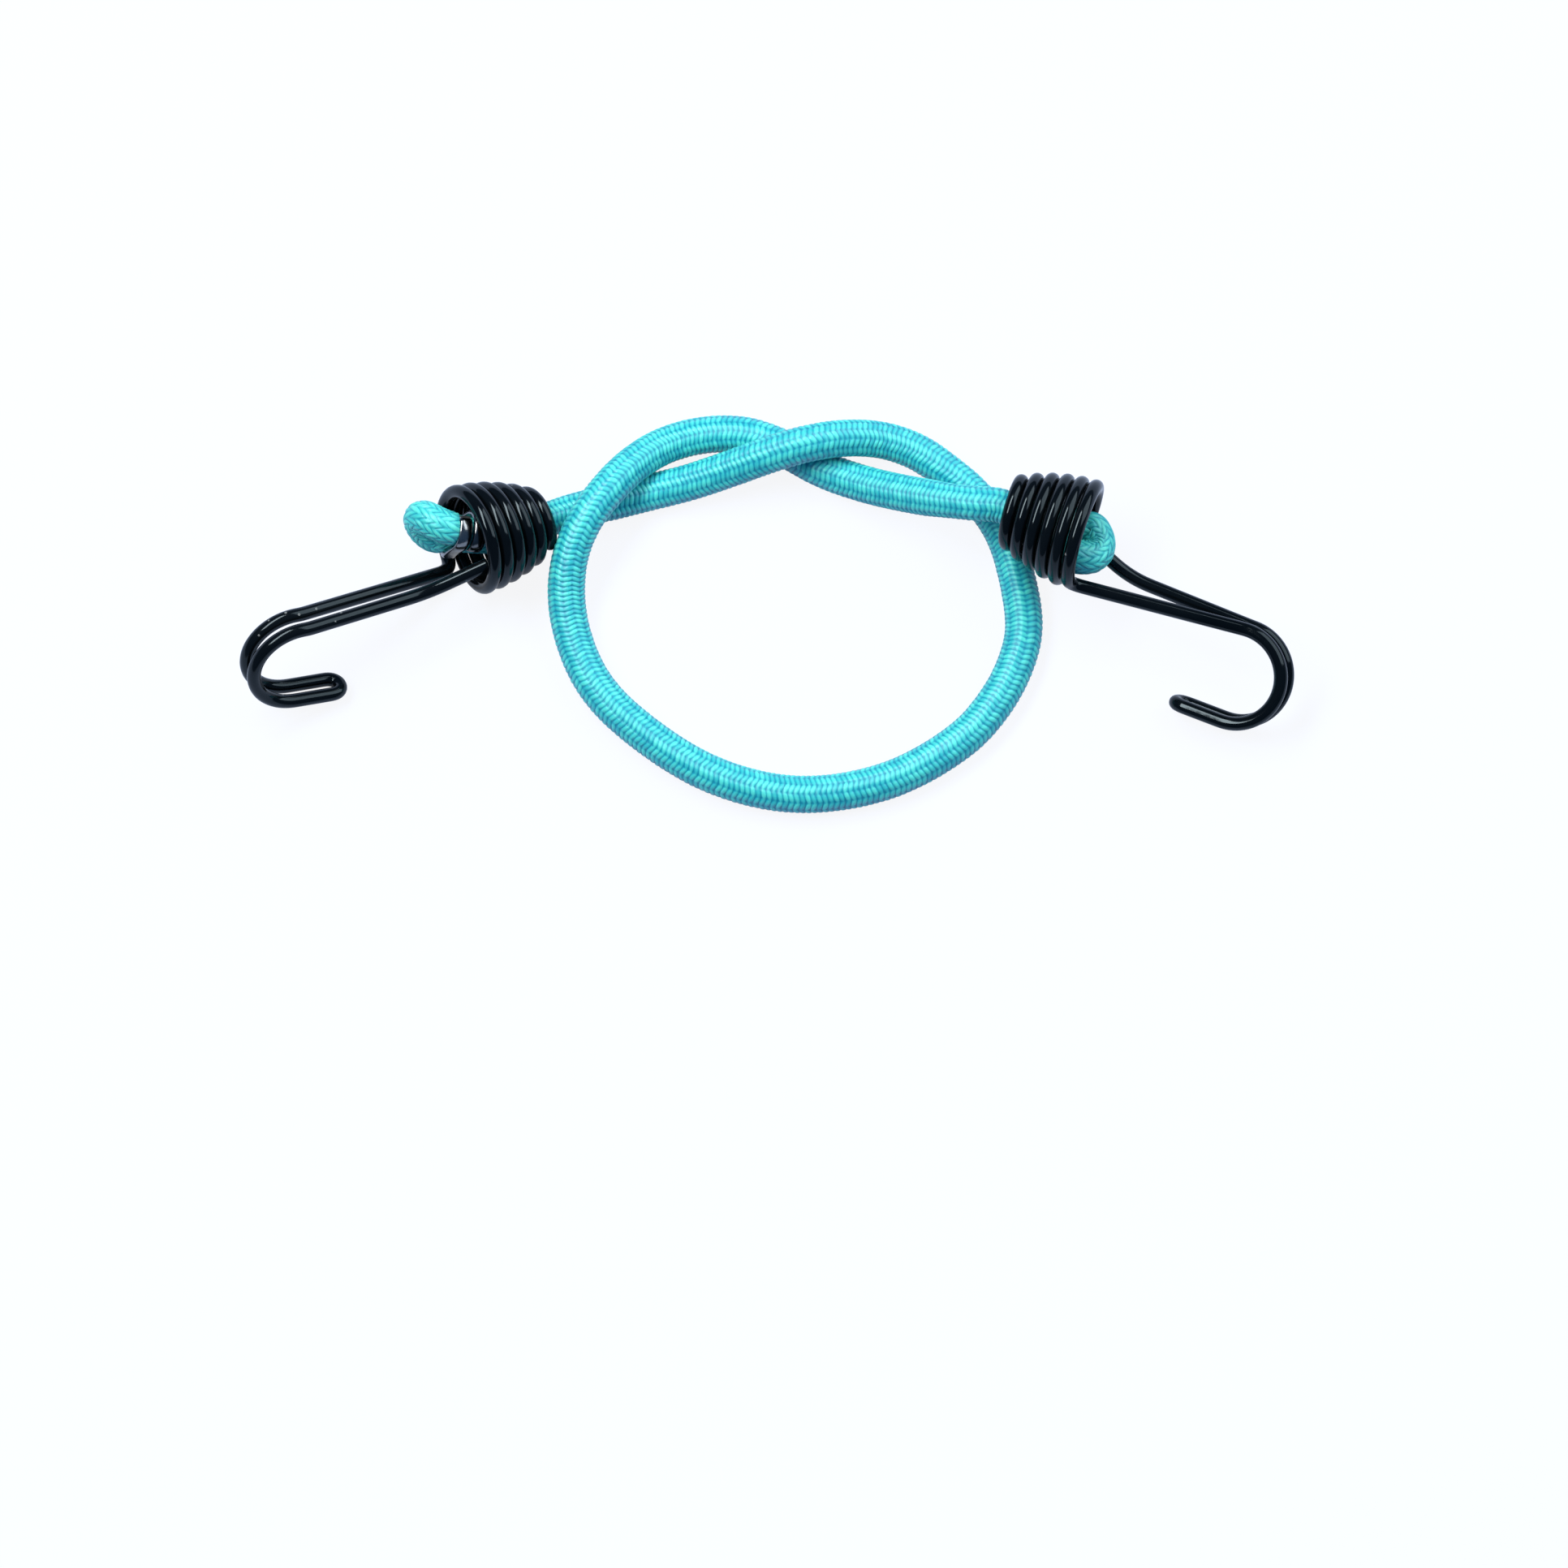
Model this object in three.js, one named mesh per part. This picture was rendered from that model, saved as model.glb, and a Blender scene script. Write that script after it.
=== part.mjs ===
// Elastic bungee cord, tied in a loose overhand knot, with a twin-wire hook on each end.
// Millimetres, +Z up. The origin lies on the floor, midway between the two hooks.
import * as THREE from 'three';

const { degToRad, lerp, smoothstep } = THREE.MathUtils;
const vec = (x, y, z) => new THREE.Vector3(x, y, z);
const spaced = (from, to, steps) => Array.from({ length: steps + 1 }, (_, i) => lerp(from, to, i / steps));

// Cord
const cordDiameter = 8; // on the slack loop
const tailDiameter = 7.4; // where the knot draws the cord thinner
const thinAbove = 25; // how far up the route, along Y, the cord is down to its tail diameter
const sheathWall = 1;
const outerStrands = 6; // rubber strands round the middle one
const clearance = 0.3; // between pieces that touch
const coreSlack = 0.6; // between the sheath and the core at the fold
const cordSides = 10;
const strandSides = 5;
const cordSteps = 50;

// Folded cord end and its clip
const foldStart = -15.5; // along the coil's axis, where the fold meets the free cord
const pressedDiameter = tailDiameter - 1.2; // each strand of cord under the clip
const bightDiameter = tailDiameter + 0.3; // each strand at the turn, where the braid opens
const clipWidth = 3;
const clipThickness = 1.4;
const clipOverlap = 15; // length of the ends that lie side by side
const clipEndGap = 0.45;
const foldedTail = 1.5; // the folded-back end stands this far behind the clip

// Hook wire and its coil
const wireDiameter = 3.1;
const wireSides = 6;
const coilTurns = 5.75;
const turnGap = 0.515;
const mouthRoom = 1.4; // between the clip and the coil's front turn
const throatRoom = 1; // between the cord and the coil's narrow end
const returnRoom = 0.4; // between leg B and the coil's front turn
const stepsPerTurn = 24;
const cornerX = 1.6; // where the last turn leaves the coil as leg A
const cornerTrim = 3;

// Hook, in the coil's frame: +X runs along the coil's axis out of its mouth, leg A leaves at +Y
const hookReach = 41.4; // where the legs end and the hook's bend begins
const bendStartY = 7.1; // middle of the two legs there
const bendStartZ = 5.5;
const legLeanY = -0.04; // sideways run of the legs for each millimetre of reach
const legLeanZ = -0.13;
const curlAngle = degToRad(14); // side that the hook curls to, from +Y
const hookRadius = 10.6;
const hookTurn = degToRad(184);
const tipLength = 9;
const legSpace = 1.7; // open space between the two wires at the hook
const returnAngle = degToRad(95); // place of leg B round the mouth
const returnDepth = 1; // how far leg B reaches into the mouth
const knee = vec(12.5, 5.2, 7.2); // where leg B bends in towards the mouth
const kneeTrim = 5;

// The two ends: place of the coil's mouth on the floor plan, then heading, upward tilt and roll of the
// coil. The fold differs because the soft cord is turned back in its own way at each end.
const ends = {
  left: {
    place: [-65.3, 13.75],
    heading: degToRad(-159.2),
    tilt: degToRad(20.5),
    roll: degToRad(-76.9),
    foldReach: 13.2,
    foldShift: 1.4, // distance of the fold from the coil's axis, away from leg B
    clipX: -0.2,
    clipOpensAt: 0.5, // share of the way round the clip where its ends lie
    stackAngle: degToRad(-22),
    tipTwist: 0,
    leanAngle: degToRad(-118), // side that the fold leans to, and how steeply
    leanSlope: 0.34,
    bendRadius: 3.6, // of its further sideways bend in front of the clip
  },
  right: {
    place: [68.2, 13.95],
    heading: degToRad(-21.1),
    tilt: degToRad(4.3),
    roll: degToRad(-167.2),
    foldReach: 8.3,
    foldShift: 0.2,
    clipX: -5.2,
    clipOpensAt: 0.25,
    stackAngle: degToRad(-20),
    tipTwist: degToRad(-10),
    leanAngle: degToRad(12),
    leanSlope: 0.26,
    bendRadius: 14,
  },
};

// Route of the free cord from the left coil to the right one: place on the floor plan, and height of
// its centre in cord diameters. It lies pressed a tenth of its diameter flat, and rises where it
// passes over itself.
const lying = 0.4;
const axisStart = -19; // the route is on the coil's axis from here to the fold
const route = [
  [-42.5, 22.8, 0.66], [-35, 25, 0.48], [-26, 27.5, lying], [-17.5, 29.5, 0.5], [-8.5, 31.8, 0.85],
  [0, 34, 1.28], [8, 36.2, 1.41], [16.5, 38.2, 1.13], [25, 38.8, 0.68], [32, 37, 0.45],
  [38.5, 33, lying], [44.5, 28, lying], [49.3, 22, lying], [53, 14.5, lying],
  [56.2, -3, lying], [54, -12.5, lying], [49, -21.5, lying], [42, -29, lying],
  [26, -38, lying], [6, -41, lying], [-13, -36.2, lying], [-31, -24, lying],
  [-38.4, -15.5, lying], [-42.6, -6, 0.45], [-44.2, 3, 0.76], [-43.2, 11.5, 1.25], [-39.8, 19, 1.58],
  [-35, 25.8, 1.52], [-29.5, 32.3, 1.12], [-22.5, 37.7, 0.65], [-14, 40.5, 0.43], [-5, 40.5, lying],
  [3.5, 37.5, lying], [12, 32.8, lying], [21, 29.1, 0.56], [31, 25.4, 1.14], [39, 22.8, 1.72],
  [45.2, 21.4, 2.02],
].map(([x, y, height]) => vec(x, y, height * cordDiameter));

// Sizes that follow from those above
const strandSpacing = pressedDiameter + clearance;
const clipSpan = 2 * clipWidth + clipEndGap;
const clipHalfLength = strandSpacing / 2 + pressedDiameter / 2 + clearance + clipThickness;
const coilPitch = wireDiameter * Math.cos(Math.PI / wireSides) + turnGap;
const mouthRadius = clipHalfLength + mouthRoom + wireDiameter / 2; // to the wire's centre
const throatRadius = tailDiameter / 2 + throatRoom + wireDiameter / 2;
const returnRadius = mouthRadius - wireDiameter - returnRoom;
const legGap = wireDiameter + legSpace;
const turnRadius = (bightDiameter + clearance) / 2; // of the fold, to the cord's centre

const materials = {
  braid: new THREE.MeshStandardMaterial({ color: 0x35b9c8, roughness: 0.55, metalness: 0 }),
  rubber: new THREE.MeshStandardMaterial({ color: 0xd9c9a3, roughness: 0.8, metalness: 0 }),
  coatedWire: new THREE.MeshStandardMaterial({ color: 0x14171a, roughness: 0.35, metalness: 0 }),
  steel: new THREE.MeshStandardMaterial({ color: 0xa9adb0, roughness: 0.3, metalness: 0.9 }),
};

// Cross-section frame at one station of a sweep: two directions square to the path.
function station(point, tangent, reference) {
  const along = tangent.clone().normalize();
  const first = reference.clone().addScaledVector(along, -reference.dot(along)).normalize();
  const second = along.clone().cross(first);
  return { point, first, second };
}

function ringAt({ point, first, second }, outline) {
  return outline.map(([a, b]) => point.clone().addScaledVector(first, a).addScaledVector(second, b));
}

function polygon(radius, sides, turn = 0) {
  return Array.from({ length: sides }, (_, i) => {
    const angle = turn + (2 * Math.PI * i) / sides;
    return [radius * Math.cos(angle), radius * Math.sin(angle)];
  });
}

function tangentsOf(points) {
  return points.map((_, i) => {
    const before = points[Math.max(i - 1, 0)];
    const after = points[Math.min(i + 1, points.length - 1)];
    return after.clone().sub(before);
  });
}

function meshFrom(name, material, points, triangles) {
  const geometry = new THREE.BufferGeometry().setFromPoints(points);
  geometry.setIndex(triangles.flat());
  geometry.computeVertexNormals();
  const mesh = new THREE.Mesh(geometry, material);
  mesh.name = name;
  return mesh;
}

// Wall between successive rings. Inward walls have their triangles turned over.
function wall(rings, first, inward, triangles) {
  const sides = rings[0].length;
  for (let i = 0; i + 1 < rings.length; i += 1) {
    for (let j = 0; j < sides; j += 1) {
      const a = first + i * sides + j;
      const b = first + i * sides + ((j + 1) % sides);
      const faces = [[a, b, a + sides], [b, b + sides, a + sides]];
      triangles.push(...faces.map(([p, q, r]) => (inward ? [p, r, q] : [p, q, r])));
    }
  }
}

function solidSweep(name, material, rings) {
  const points = rings.flat();
  const triangles = [];
  const sides = rings[0].length;
  wall(rings, 0, false, triangles);
  [[0, true], [points.length - sides, false]].forEach(([first, isStart]) => {
    const ring = points.slice(first, first + sides);
    const centre = points.push(ring.reduce((sum, p) => sum.add(p), vec(0, 0, 0)).divideScalar(sides)) - 1;
    for (let j = 0; j < sides; j += 1) {
      const a = first + j;
      const b = first + ((j + 1) % sides);
      triangles.push(isStart ? [centre, b, a] : [centre, a, b]);
    }
  });
  return meshFrom(name, material, points, triangles);
}

function hollowSweep(name, material, outer, inner) {
  const points = [...outer.flat(), ...inner.flat()];
  const triangles = [];
  const sides = outer[0].length;
  const innerFirst = outer.length * sides;
  wall(outer, 0, false, triangles);
  wall(inner, innerFirst, true, triangles);
  [[0, true], [(outer.length - 1) * sides, false]].forEach(([first, isStart]) => {
    for (let j = 0; j < sides; j += 1) {
      const k = (j + 1) % sides;
      const [a, b] = [first + j, first + k];
      const [c, d] = [innerFirst + a, innerFirst + b];
      triangles.push(...(isStart ? [[a, c, b], [b, c, d]] : [[a, b, c], [b, d, c]]));
    }
  });
  return meshFrom(name, material, points, triangles);
}

// Free cord: a hollow braided sheath and the rubber strands inside it, swept along one route.
function cordDiameterAt(point) {
  return lerp(cordDiameter, tailDiameter, smoothstep(point.y, 0, thinAbove));
}

function makeCord({ left, right }) {
  const onAxis = (group, x) => group.localToWorld(vec(x, 0, 0));
  const start = [foldStart, axisStart].map((x) => onAxis(left, x));
  const finish = [axisStart, foldStart].map((x) => onAxis(right, x));
  const curve = new THREE.CatmullRomCurve3([...start, ...route, ...finish]);
  const points = curve.getSpacedPoints(cordSteps);
  const tangents = points.map((_, i) => curve.getTangentAt(i / cordSteps));
  tangents[0] = start[1].clone().sub(start[0]);
  tangents[cordSteps] = finish[1].clone().sub(finish[0]);
  const up = vec(0, 0, 1);
  const stations = points.map((p, i) => station(p, tangents[i], tangents[i].clone().cross(up)));
  const layFlat = (ring) => ring.map((p) => p.setZ(Math.max(p.z, 0)));
  const outer = stations.map((s) => layFlat(ringAt(s, polygon(cordDiameterAt(s.point) / 2, cordSides))));
  const bore = (s) => cordDiameterAt(s.point) / 2 - sheathWall;
  const inner = stations.map((s) => ringAt(s, polygon(bore(s), cordSides)));

  // The strands fill the narrowest bore: one in the middle and the others round it.
  const boreFlat = (tailDiameter / 2 - sheathWall) * Math.cos(Math.PI / cordSides);
  const strandRadius = (boreFlat - 2 * clearance) / 3;
  const strandCircle = 2 * strandRadius + clearance;
  const places = [[0, 0], ...polygon(strandCircle, outerStrands)];
  const strands = places.map(([a, b], i) => {
    const outline = polygon(strandRadius, strandSides).map(([c, d]) => [a + c, b + d]);
    const rings = stations.map((s) => ringAt(s, outline));
    return solidSweep(`core_strand_${i + 1}`, materials.rubber, rings);
  });
  console.log(`free cord between the folds: ${curve.getLength().toFixed(1)} mm`);
  return [hollowSweep('cord_sheath', materials.braid, outer, inner), ...strands];
}

// Rounded corner between two straight runs, as a parabola that leaves both runs smoothly.
function roundCorner(from, corner, to, steps) {
  return new THREE.QuadraticBezierCurve3(from, corner, to).getPoints(steps);
}

function towards(from, to, distance) {
  return from.clone().addScaledVector(to.clone().sub(from).normalize(), distance);
}

// Centre line of the hook's wire. Each entry has a point, the direction that sets the turn of the
// six-sided section, and an extra turn of that section.
function hookPath() {
  const path = [];
  const add = (points, reference, turnAt = () => 0) => points.forEach((point, i) => {
    const share = points.length > 1 ? i / (points.length - 1) : 1;
    path.push({ point, reference: reference(share, i), turn: turnAt(share) });
  });

  const coilPoint = (turns) => {
    const radius = mouthRadius - (mouthRadius - throatRadius) * (turns / coilTurns) ** 2;
    const angle = -2 * Math.PI * turns;
    return vec(cornerX - coilPitch * turns, radius * Math.cos(angle), radius * Math.sin(angle));
  };
  const radial = (point) => vec(0, point.y, point.z);
  const trimTurns = cornerTrim / (2 * Math.PI * mouthRadius);
  const coil = spaced(coilTurns, trimTurns, Math.round(coilTurns * stepsPerTurn)).map(coilPoint);
  add(coil, (_, i) => radial(coil[i]));

  const forward = vec(1, legLeanY, legLeanZ).normalize();
  const side = vec(0, Math.cos(curlAngle), Math.sin(curlAngle));
  const curl = side.clone().addScaledVector(forward, -side.dot(forward)).normalize();
  const across = forward.clone().cross(curl);
  const middle = vec(hookReach, bendStartY, bendStartZ);
  const bendStart = (sign) => middle.clone().addScaledVector(across, (sign * legGap) / 2);
  const inward = (angle) =>
    curl.clone().multiplyScalar(Math.cos(angle)).addScaledVector(forward, -Math.sin(angle));
  const bendPoint = (sign, angle) => bendStart(sign)
    .addScaledVector(curl, hookRadius * (1 - Math.cos(angle)))
    .addScaledVector(forward, hookRadius * Math.sin(angle));
  const flatIn = Math.PI / wireSides; // turns a flat of the section to the inside of the hook
  const toFlat = () => flatIn;

  const corner = vec(cornerX, mouthRadius, 0);
  const legStart = towards(corner, bendStart(-1), cornerTrim);
  const radialAtCorner = radial(corner).normalize();
  add(roundCorner(coil.at(-1), corner, legStart, 5).slice(1), () => radialAtCorner);
  const legA = new THREE.LineCurve3(legStart, bendStart(-1)).getPoints(4).slice(1, -1);
  add(legA, (share) => radialAtCorner.clone().lerp(curl, share), (share) => flatIn * share);

  const bendSteps = 13;
  const angles = spaced(0, hookTurn, bendSteps);
  add(angles.map((angle) => bendPoint(-1, angle)), (_, i) => inward(angles[i]), toFlat);
  const tipDirection = forward.clone().multiplyScalar(Math.cos(hookTurn))
    .addScaledVector(curl, Math.sin(hookTurn));
  const tipMiddle = bendPoint(1, hookTurn).add(bendPoint(-1, hookTurn)).divideScalar(2)
    .addScaledVector(tipDirection, tipLength);
  const tip = spaced(0, Math.PI, 8).map((angle) => tipMiddle.clone()
    .addScaledVector(across, (-legGap / 2) * Math.cos(angle))
    .addScaledVector(tipDirection, (legGap / 2) * Math.sin(angle)));
  add(tip, () => inward(hookTurn), toFlat);
  const back = [...angles].reverse();
  add(back.map((angle) => bendPoint(1, angle)), (_, i) => inward(back[i]), toFlat);

  const returnEnd = vec(-returnDepth, returnRadius * Math.cos(returnAngle),
    returnRadius * Math.sin(returnAngle));
  const kneeIn = towards(knee, bendStart(1), kneeTrim);
  const kneeOut = towards(knee, returnEnd, kneeTrim);
  add([...roundCorner(kneeIn, knee, kneeOut, 4), returnEnd], () => curl, toFlat);
  return path;
}

// Least gap between one turn of the coil and the next, measured between the corners of their sections.
function leastCoilGap(rings) {
  const coilRings = rings.slice(0, Math.round(coilTurns * stepsPerTurn) + 1);
  let least = Infinity;
  coilRings.forEach((ring, i) => {
    coilRings.slice(i + stepsPerTurn / 2).flat().forEach((q) => {
      ring.forEach((p) => { least = Math.min(least, p.distanceTo(q)); });
    });
  });
  return least;
}

function makeHook(name) {
  const path = hookPath();
  const tangents = tangentsOf(path.map(({ point }) => point));
  const rings = path.map(({ point, reference, turn }, i) =>
    ringAt(station(point, tangents[i], reference), polygon(wireDiameter / 2, wireSides, turn)));
  console.log(`${name}: least gap between coil turns ${leastCoilGap(rings).toFixed(2)} mm`);
  return solidSweep(name, materials.coatedWire, rings);
}

// Step from 0 to 1 along two parabolas, which bends a cord least.
function gentleStep(value, from, to) {
  const share = THREE.MathUtils.clamp((value - from) / (to - from), 0, 1);
  return share < 0.5 ? 2 * share ** 2 : 1 - 2 * (1 - share) ** 2;
}

// Marks along the fold: its back face, the clip's two faces and the start of the cord's turn.
function foldMarks(end) {
  const clipBack = end.clipX - clipWidth / 2;
  return {
    foldBack: foldStart + clearance,
    clipBack,
    clipFront: clipBack + clipSpan,
    turnStart: end.foldReach - turnRadius - bightDiameter / 2,
  };
}

// Frame of the fold at a distance along it: its middle, the direction from one strand to the other,
// the direction square to both strands, and its own axis. Behind the clip it eases over from the
// coil's axis.
function foldFrame(end, distance) {
  const { foldBack, clipBack, clipFront, turnStart } = foldMarks(end);
  const inTurn = smoothstep(distance, turnStart, turnStart + turnRadius);
  const inFold = gentleStep(distance, foldBack, clipBack);
  const leanSide = vec(0, Math.cos(end.leanAngle), Math.sin(end.leanAngle));
  const past = Math.max(distance - clipFront, 0);
  const lean = end.leanSlope * (distance - end.clipX) + past ** 2 / (2 * end.bendRadius);
  const axis = vec(1, 0, 0).addScaledVector(leanSide, end.leanSlope + past / end.bendRadius).normalize();
  const fromLegB = vec(0, -Math.cos(returnAngle), -Math.sin(returnAngle));
  const inClip = vec(distance, 0, 0).addScaledVector(fromLegB, end.foldShift).addScaledVector(leanSide, lean);
  const centre = vec(distance, 0, 0).lerp(inClip, inFold);
  const angle = end.stackAngle + end.tipTwist * inTurn;
  const side = vec(0, Math.cos(angle), Math.sin(angle));
  const stack = side.addScaledVector(axis, -side.dot(axis)).normalize();
  return { centre, stack, square: axis.clone().cross(stack), axis };
}

// Folded cord end: out of the coil, under the clip, round the turn and back under the clip.
function foldStations(end) {
  const { foldBack, clipBack, clipFront, turnStart } = foldMarks(end);
  const pressed = (distance) => gentleStep(distance, foldBack, clipBack);
  const onFold = (distance, spread) => {
    const { centre, stack } = foldFrame(end, distance);
    return centre.addScaledVector(stack, spread);
  };
  const onRunOut = (distance) => onFold(distance, (strandSpacing / 2) * pressed(distance));
  const onRunBack = (distance) => onFold(distance, -strandSpacing * (1 - pressed(distance) / 2));
  const onTurn = (angle) => onFold(turnStart + turnRadius * Math.sin(angle), turnRadius * Math.cos(angle));

  const step = 0.01; // for the path's direction
  const at = (pointAt, place, direction, distance, diameter) => {
    const tangent = pointAt(place + step).sub(pointAt(place - step)).multiplyScalar(direction);
    const { square } = foldFrame(end, distance);
    return { ...station(pointAt(place), tangent, square), radius: diameter / 2 };
  };
  const runOut = [...spaced(foldBack, clipBack, 5), clipFront].map((d) =>
    at(onRunOut, d, 1, d, lerp(tailDiameter, pressedDiameter, pressed(d))));
  const turn = spaced(0, Math.PI, 12).map((angle) => at(onTurn, angle, 1, turnStart, bightDiameter));
  const runBack = [clipFront, clipBack, clipBack - foldedTail].map((d) =>
    at(onRunBack, d, -1, d, pressedDiameter));
  return [...runOut, ...turn, ...runBack];
}

function makeFold(side, end) {
  const stations = foldStations(end);
  const lobes = 2 * outerStrands;
  const lobeDepth = 0.92; // share of the radius left between two strands
  const coreOutline = (radius) => polygon(radius, lobes).map(([a, b], i) =>
    (i % 2 ? [a * lobeDepth, b * lobeDepth] : [a, b]));
  const bore = (s) => s.radius - sheathWall;
  const boreFlat = Math.cos(Math.PI / cordSides);
  const outer = stations.map((s) => ringAt(s, polygon(s.radius, cordSides)));
  const inner = stations.map((s) => ringAt(s, polygon(bore(s), cordSides)));
  const core = stations.map((s) => ringAt(s, coreOutline(bore(s) * boreFlat - coreSlack)));
  return [
    hollowSweep(`${side}_fold_sheath`, materials.braid, outer, inner),
    solidSweep(`${side}_fold_core`, materials.rubber, core),
  ];
}

// Place on the clip's loop, an oval round both strands, at a length along it: across the strands,
// square to them, and the outward direction in the same two parts.
function clipLoop(bandRadius) {
  const straight = strandSpacing;
  const halfRound = Math.PI * bandRadius;
  const loop = 2 * (straight + halfRound);
  const bend = (centre, angle) =>
    [centre + bandRadius * Math.cos(angle), bandRadius * Math.sin(angle), Math.cos(angle), Math.sin(angle)];
  const at = (length) => {
    const s = ((length + halfRound / 2) % loop + loop) % loop;
    if (s < halfRound) return bend(straight / 2, s / bandRadius - Math.PI / 2);
    if (s < halfRound + straight) return [straight / 2 - (s - halfRound), bandRadius, 0, 1];
    if (s < loop - straight) return bend(-straight / 2, (s - straight) / bandRadius - Math.PI / 2);
    return [straight / 2 - (loop - s), -bandRadius, 0, -1];
  };
  return { loop, at };
}

// Steel clip: a flat wire pressed round both strands, with its ends side by side.
function makeClip(name, end) {
  const { loop, at } = clipLoop(pressedDiameter / 2 + clearance + clipThickness / 2);
  const first = end.clipOpensAt * loop - clipOverlap / 2;
  const entries = spaced(0, loop + clipOverlap, 44).map((length) => {
    const [a, b, outA, outB] = at(first + length);
    const sideways = (clipWidth + clipEndGap) * smoothstep(length, clipOverlap, loop);
    const { centre, stack, square, axis } = foldFrame(end, end.clipX);
    const point = centre.addScaledVector(axis, sideways).addScaledVector(stack, a).addScaledVector(square, b);
    return { point, outward: stack.clone().multiplyScalar(outA).addScaledVector(square, outB) };
  });
  const edge = 0.35;
  const [t, w] = [clipThickness / 2, clipWidth / 2];
  const outline = [
    [t, -w + edge], [t, w - edge], [t - edge, w], [-t + edge, w],
    [-t, w - edge], [-t, -w + edge], [-t + edge, -w], [t - edge, -w],
  ];
  const tangents = tangentsOf(entries.map(({ point }) => point));
  const rings = entries.map(({ point, outward }, i) => ringAt(station(point, tangents[i], outward), outline));
  return solidSweep(name, materials.steel, rings);
}

// One end of the cord, turned as it lies and let down until its hook rests on the floor.
function makeEnd(side, end) {
  const group = new THREE.Group();
  const hook = makeHook(`${side}_hook`);
  group.add(hook, makeClip(`${side}_clip`, end), ...makeFold(side, end));
  group.rotation.set(end.roll, -end.tilt, end.heading, 'ZYX');
  group.position.set(...end.place, 0);
  group.updateMatrixWorld(true);
  group.position.z = -new THREE.Box3().setFromObject(hook, true).min.z;
  group.updateMatrixWorld(true);
  return group;
}

const endGroups = { left: makeEnd('left', ends.left), right: makeEnd('right', ends.right) };
const bungeeCord = new THREE.Group();
bungeeCord.add(...makeCord(endGroups), endGroups.left, endGroups.right);

export default bungeeCord;
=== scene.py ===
# Looks of an elastic bungee cord, tied in a loose overhand knot, with a twin-wire hook on each end.
# Shapes are worked out in millimetres and handed to Blender in metres.
import math

import bpy
import numpy as np
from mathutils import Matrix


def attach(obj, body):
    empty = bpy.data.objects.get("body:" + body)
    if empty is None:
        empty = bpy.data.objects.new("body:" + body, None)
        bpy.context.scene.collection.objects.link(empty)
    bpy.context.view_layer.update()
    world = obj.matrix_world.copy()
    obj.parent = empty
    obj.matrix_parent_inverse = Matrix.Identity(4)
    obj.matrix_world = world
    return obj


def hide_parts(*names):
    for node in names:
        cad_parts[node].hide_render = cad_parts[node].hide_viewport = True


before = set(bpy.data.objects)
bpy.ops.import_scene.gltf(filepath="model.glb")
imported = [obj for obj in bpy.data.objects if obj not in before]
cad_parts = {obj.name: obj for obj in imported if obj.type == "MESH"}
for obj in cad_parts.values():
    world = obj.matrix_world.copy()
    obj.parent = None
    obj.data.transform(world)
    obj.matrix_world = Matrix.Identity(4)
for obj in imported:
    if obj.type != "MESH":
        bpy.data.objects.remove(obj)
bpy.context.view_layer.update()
MM = 0.001

# Cord
CORD_DIAMETER = 8.0
TAIL_DIAMETER = 7.4
THIN_ABOVE = 25.0
SHEATH_WALL = 1.0
STRANDS = 7
STRAND_RADIUS = 0.8
STRAND_CIRCLE = 1.72
CLEARANCE = 0.3

# The free strands look fuller near the middle than the tails that enter the coils
FULLER = 0.55
FULL_WITHIN = 34.0
TAIL_BEYOND = 42.0

# Soft contact of the cord with itself, with the end of the left coil's wire and with the floor
OWN_STRETCH = 30.0
PRESS_WITHIN = 9.5
PRESS_WINDOW = 25
PRESS_GAP = 0.03
WIRE_PRESS_GAP = 0.12
COIL_END_POINTS = 30
INSIDE_ABOVE_FLOOR = 0.3

# Folded cord end and its clip
FOLD_START = -15.5
PRESSED_BY = 1.2
BIGHT_SWELL = 0.3
PRESSED_DIAMETER = TAIL_DIAMETER - PRESSED_BY
BIGHT_DIAMETER = TAIL_DIAMETER + BIGHT_SWELL
CLIP_WIDTH = 3.0
CLIP_THICKNESS = 1.4
CLIP_OVERLAP = 15.0
CLIP_END_GAP = 0.45
FOLDED_TAIL = 1.5
FOLD_CORE_GAP = 0.25
STRAND_SPACING = PRESSED_DIAMETER + CLEARANCE
CLIP_SPAN = 2 * CLIP_WIDTH + CLIP_END_GAP
TURN_RADIUS = (BIGHT_DIAMETER + CLEARANCE) / 2
FOLD_CORE_RADIUS = PRESSED_DIAMETER / 2 - SHEATH_WALL - FOLD_CORE_GAP
CLIP_BAND_RADIUS = PRESSED_DIAMETER / 2 + CLEARANCE + CLIP_THICKNESS / 2
CLIP_LOOP = 2 * (STRAND_SPACING + math.pi * CLIP_BAND_RADIUS)
CLIP_ROUNDNESS = 0.8
BEVEL_START = 1.5
BEVEL_END = 0.2
BEVEL_NARROWS = 0.15
BEVEL_PARES = 0.8
BRIGHT_BEVEL = 0.25

# Hook wire and its coil
WIRE_DIAMETER = 3.1
COIL_TURNS = 5.75
COIL_PITCH = 3.2
MOUTH_RADIUS = 11.0
THROAT_RADIUS = 6.25
RETURN_RADIUS = 7.5
CORNER_X = 1.6
CORNER_TRIM = 3.0
HOOK_REACH = 41.4
BEND_START = (HOOK_REACH, 7.1, 5.5)
LEG_LEAN = (1.0, -0.04, -0.13)
CURL_ANGLE = math.radians(14)
HOOK_RADIUS = 10.6
HOOK_TURN = math.radians(184)
TIP_LENGTH = 9.0
LEG_GAP = 4.8
RETURN_ANGLE = math.radians(95)
RETURN_DEPTH = 1.0
KNEE = (12.5, 5.2, 7.2)
KNEE_TRIM = 5.0

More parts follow.
